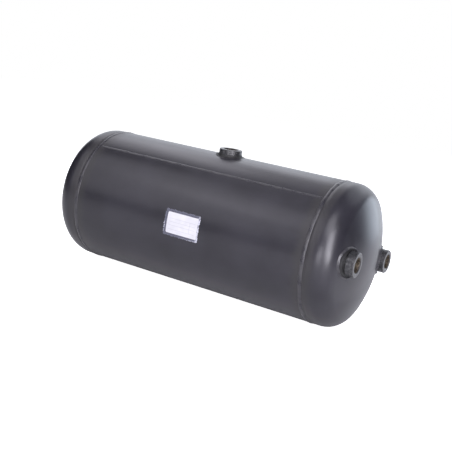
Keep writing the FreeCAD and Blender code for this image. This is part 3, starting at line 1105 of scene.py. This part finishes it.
@dataclass
class Sheet:
    """A thin sheet on the shell's front, bent to it, with rounded or ragged edges."""

    node: str
    corner: float
    ragged: float
    seed: int
    along: int = 120
    around: int = 90

    def build(self, slot: str, material: bpy.types.Material) -> None:
        """Builds the sheet and puts it in its node's place."""
        hand_over(self.surface().build(f"{self.node}_sheet"), self.node, material)

    def surface(self) -> Surface:
        """The sheet as a closed box on the tube, its outline a square with rounded corners.

        A unit square is pulled to a rounded outline: near a corner, a point's offset is scaled
        so that the rim runs along a circle of the corner's radius. The rim is then moved in and
        out by a small wander. Front and back are the same grid at two distances from the axis.

        Returns:
            The closed surface, with its place on the sheet from -1 to 1 both ways.
        """
        low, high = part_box(self.node)
        inner, outer, half_angle, middle = self.reach()
        half = np.array(((high.x - low.x) / 2, half_angle * outer))
        u, v = np.meshgrid(np.linspace(-1, 1, self.along), np.linspace(-1, 1, self.around),
                           indexing="ij")
        across, up = u * half[0], v * half[1]
        inset_x = self.corner_inset(np.abs(up), half[1])
        inset_y = self.corner_inset(np.abs(across), half[0])
        edge_u = np.abs(u) ** 12 * self.ragged * (wave(v * np.pi, self.seed, (3, 7, 13)) - 1)
        edge_v = np.abs(v) ** 12 * self.ragged * (wave(u * np.pi, self.seed + 1, (4, 9, 17)) - 1)
        across = across * (1 - inset_x / half[0]) + np.sign(u) * edge_u * 0.5
        up = up * (1 - inset_y / half[1]) + np.sign(v) * edge_v * 0.5
        angle = middle + up / outer
        x = (low.x + high.x) / 2 + across
        layers = [np.stack([x, -radius * np.cos(angle), FORM.axis_height + radius * np.sin(angle)],
                           axis=-1).reshape(-1, 3) for radius in (outer, inner)]
        count = u.size
        front = grid_faces(self.along, self.around, False, False)
        rim = self.rim_numbers()
        following = np.roll(rim, -1)
        walls = np.stack([rim, following, following + count, rim + count], axis=1)
        place = np.stack([u.ravel(), v.ravel()], axis=1)
        return Surface(np.concatenate(layers),
                       np.concatenate([front, (front + count)[:, ::-1], walls[:, ::-1]]),
                       np.concatenate([place, place]).astype(np.float32))

    def corner_inset(self, offset: np.ndarray, half: float) -> np.ndarray:
        """How far a rounded corner of the sheet pulls the rim in, at an offset along its side."""
        past = np.clip(offset - (half - self.corner), 0, self.corner)
        return (self.corner - np.sqrt(self.corner**2 - past**2)) * 0.5

    def reach(self) -> tuple[float, float, float, float]:
        """The CAD sheet's reach about the tank's axis.

        Returns:
            Its inner and outer distance from the axis, half its angle and its middle angle.
        """
        points = np.empty(len(frame["nodes"][self.node].data.vertices) * 3)
        frame["nodes"][self.node].data.vertices.foreach_get("co", points)
        points = points.reshape(-1, 3)
        radius = np.hypot(points[:, 1], points[:, 2] - FORM.axis_height)
        angle = np.arctan2(points[:, 2] - FORM.axis_height, -points[:, 1])
        return (radius.min(), radius.max(), (angle.max() - angle.min()) / 2,
                (angle.max() + angle.min()) / 2)

    def rim_numbers(self) -> np.ndarray:
        """The point numbers round the rim of the front grid, in order."""
        numbers = np.arange(self.along * self.around).reshape(self.along, self.around)
        return np.concatenate([numbers[:-1, 0], numbers[-1, :-1], numbers[:0:-1, -1],
                               numbers[0, :0:-1]])


# ---------------------------------------------------------------------------------------------
# Studio
# ---------------------------------------------------------------------------------------------


@dataclass(frozen=True)
class SoftLight:
    """A soft light that faces the tank: a disk, or a panel where it has a height of its own."""

    name: str
    azimuth: float
    elevation: float
    power: float
    colour: tuple[float, float, float] = (1.0, 0.98, 1.07)
    width: float = 0.7
    height: float | None = None
    distance: float = 1.6
    target: tuple[float, float, float] = (0.02, 0.0, 0.12)

    def build(self) -> None:
        """Places the light: azimuth 0 is the label's side, and 90 the near head's."""
        turn, lift = math.radians(self.azimuth), math.radians(self.elevation)
        away = Vector((math.cos(lift) * math.sin(turn), -math.cos(lift) * math.cos(turn),
                       math.sin(lift)))
        lamp = bpy.data.lights.new(self.name, "AREA")
        lamp.shape = "DISK" if self.height is None else "RECTANGLE"
        lamp.size, lamp.size_y = self.width, self.height or self.width
        lamp.energy, lamp.color = self.power, self.colour
        holder = bpy.data.objects.new(lamp.name, lamp)
        holder.location = Vector(self.target) + away * self.distance
        holder.rotation_euler = (-away).to_track_quat("-Z", "Y").to_euler()
        holder.visible_camera = False
        bpy.context.scene.collection.objects.link(holder)


@dataclass
class Studio:
    """A white floor and background, soft lights and the camera."""

    lights: tuple[SoftLight, ...] = (
        SoftLight("low_front", 12, 5, 7.0),
        SoftLight("tall_front_panel", 46, 0, 24.0, width=0.7, height=1.15,
                  target=(0.02, 0.0, 0.70)),
        SoftLight("high_front", 28, 48, 9.5, width=1.0),
        SoftLight("far_front", 326, 24, 4.2, width=1.1),
        SoftLight("high_far_front", 330, 45, 2.2),
        SoftLight("high_far_end", 300, 45, 1.7),
        SoftLight("top_far_end", 300, 65, 0.9),
        SoftLight("top_far_back", 240, 65, 0.8),
        SoftLight("high_far_back", 240, 45, 2.0),
        SoftLight("high_back", 210, 45, 2.9, width=1.1),
        SoftLight("high_near_back", 150, 45, 4.2, (0.96, 1.0, 1.10), width=1.3),
        SoftLight("low_near_back", 150, 5, 3.3, (0.90, 1.0, 1.14)),
        SoftLight("back_panel", 200, 0, 8.2, (0.96, 1.0, 1.09), width=2.0, height=1.0,
                  distance=1.0, target=(0.02, 0.0, 0.51)),
        SoftLight("low_near_end", 54, 0, 5.0, width=0.45),
        SoftLight("floor_panel", 0, -90, 2.0, width=1.6, height=1.2, distance=0.1,
                  target=(1.1, 0.5, 0.105)),
    )
    floor_half: float = 3.0
    floor_glow: float = 1.0
    azimuth: float = 31.24
    elevation: float = 26.62
    tank_roll: float = 16.0
    diameters_away: float = 5.66592
    focal_share: float = 766.55 / 452
    aim_right: float = 0.0679
    aim_up: float = -0.0342

    def build(self) -> None:
        """Builds floor, background, lights and camera."""
        self.build_floor()
        self.build_background()
        for light in self.lights:
            light.build()
        self.build_camera()

    def build_floor(self) -> None:
        """A pale matt floor, whose glow keeps it white, over a plain card that lights the tank."""
        floor = self.build_card("floor", 0.0, self.floor_glow)
        floor.visible_diffuse = floor.visible_glossy = floor.visible_shadow = False
        card = self.build_card("bounce_card", -0.5 * MM, 0.02)
        card.visible_camera = False

    def build_card(self, name: str, level: float, glow: float) -> bpy.types.Object:
        """Builds a square matt card, level with the floor.

        Args:
            name: the card's name.
            level: its height.
            glow: how bright it is by itself.

        Returns:
            The card.
        """
        half = self.floor_half
        mesh = bpy.data.meshes.new(name)
        mesh.from_pydata([(-half, -half, level), (half, -half, level), (half, half, level),
                          (-half, half, level)], [], [(0, 1, 2, 3)])
        card = bpy.data.objects.new(name, mesh)
        bpy.context.scene.collection.objects.link(card)
        shader = Shader(f"pale_{name}")
        dress(card, shader.finish(Base_Color=grey(0.85), Roughness=0.9,
                                  Emission_Color=grey(1.0), Emission_Strength=glow))
        return card

    def build_background(self) -> None:
        """A white background that the camera sees and that doesn't light the tank."""
        world = bpy.data.worlds.new("studio")
        bpy.context.scene.world = world
        world.use_nodes = True
        world.node_tree.nodes["Background"].inputs["Color"].default_value = grey(1.0)
        world.cycles_visibility.diffuse = False
        world.cycles_visibility.glossy = False
        bpy.context.scene.view_settings.view_transform = "Standard"

    def build_camera(self) -> None:
        """A level camera on an orbit, which is then rolled with the tank about the tank's axis."""
        turn, lift = math.radians(self.azimuth), math.radians(self.elevation)
        back = Vector((math.cos(lift) * math.sin(turn), -math.cos(lift) * math.cos(turn),
                       math.sin(lift)))
        right = Vector((math.cos(turn), math.sin(turn), 0))
        roll = Matrix.Rotation(math.radians(self.tank_roll), 3, "X")
        turned = roll @ Matrix((right, back.cross(right), back)).transposed()
        diameter = 2 * FORM.radius
        aim = turned @ Vector((self.aim_right, self.aim_up, self.diameters_away)) * diameter
        camera = bpy.data.cameras.new("camera")
        camera.sensor_width = 36
        camera.lens = camera.sensor_width * self.focal_share
        holder = bpy.data.objects.new("camera", camera)
        place = Vector((0, 0, FORM.axis_height)) + aim
        holder.matrix_world = Matrix.Translation(place) @ turned.to_4x4()
        bpy.context.scene.collection.objects.link(holder)
        bpy.context.scene.camera = holder


def main() -> None:
    """Builds the tank's looks, piece by piece, and the studio round it."""
    logging.basicConfig(level=logging.INFO, format="%(name)s %(message)s")
    weld_paint = WeldPaint().material()
    plate_paint = SatinPaint().material()
    top_port = Port("top_port", seed=50, ridge=0.7 * MM, climb=3.6 * MM, neck=17 * MM)
    head_ports = (Port("front_port", seed=57, ridge=2.2 * MM),
                  Port("rear_port", seed=64, ridge=2.0 * MM))
    Shell().build(plate_paint)
    Head(End.NEAR, head_ports).build(plate_paint)
    Head(End.FAR).build(plate_paint)
    GirthWeld(End.NEAR, seed=21, overlap=math.radians(14)).build(weld_paint)
    GirthWeld(End.FAR, seed=34, overlap=math.radians(200)).build(weld_paint)
    SeamWeld().build(weld_paint)
    for port in (top_port, *head_ports):
        port.build()
    Sheet("label_film", corner=2.0 * MM, ragged=1.0 * MM, seed=70).build(
        "film", ClearFilm().material())
    Sheet("label_paper", corner=1.2 * MM, ragged=0.0, seed=80).build(
        "paper", LabelPaper().material())
    Studio().build()


if __name__ == "__main__":
    main()
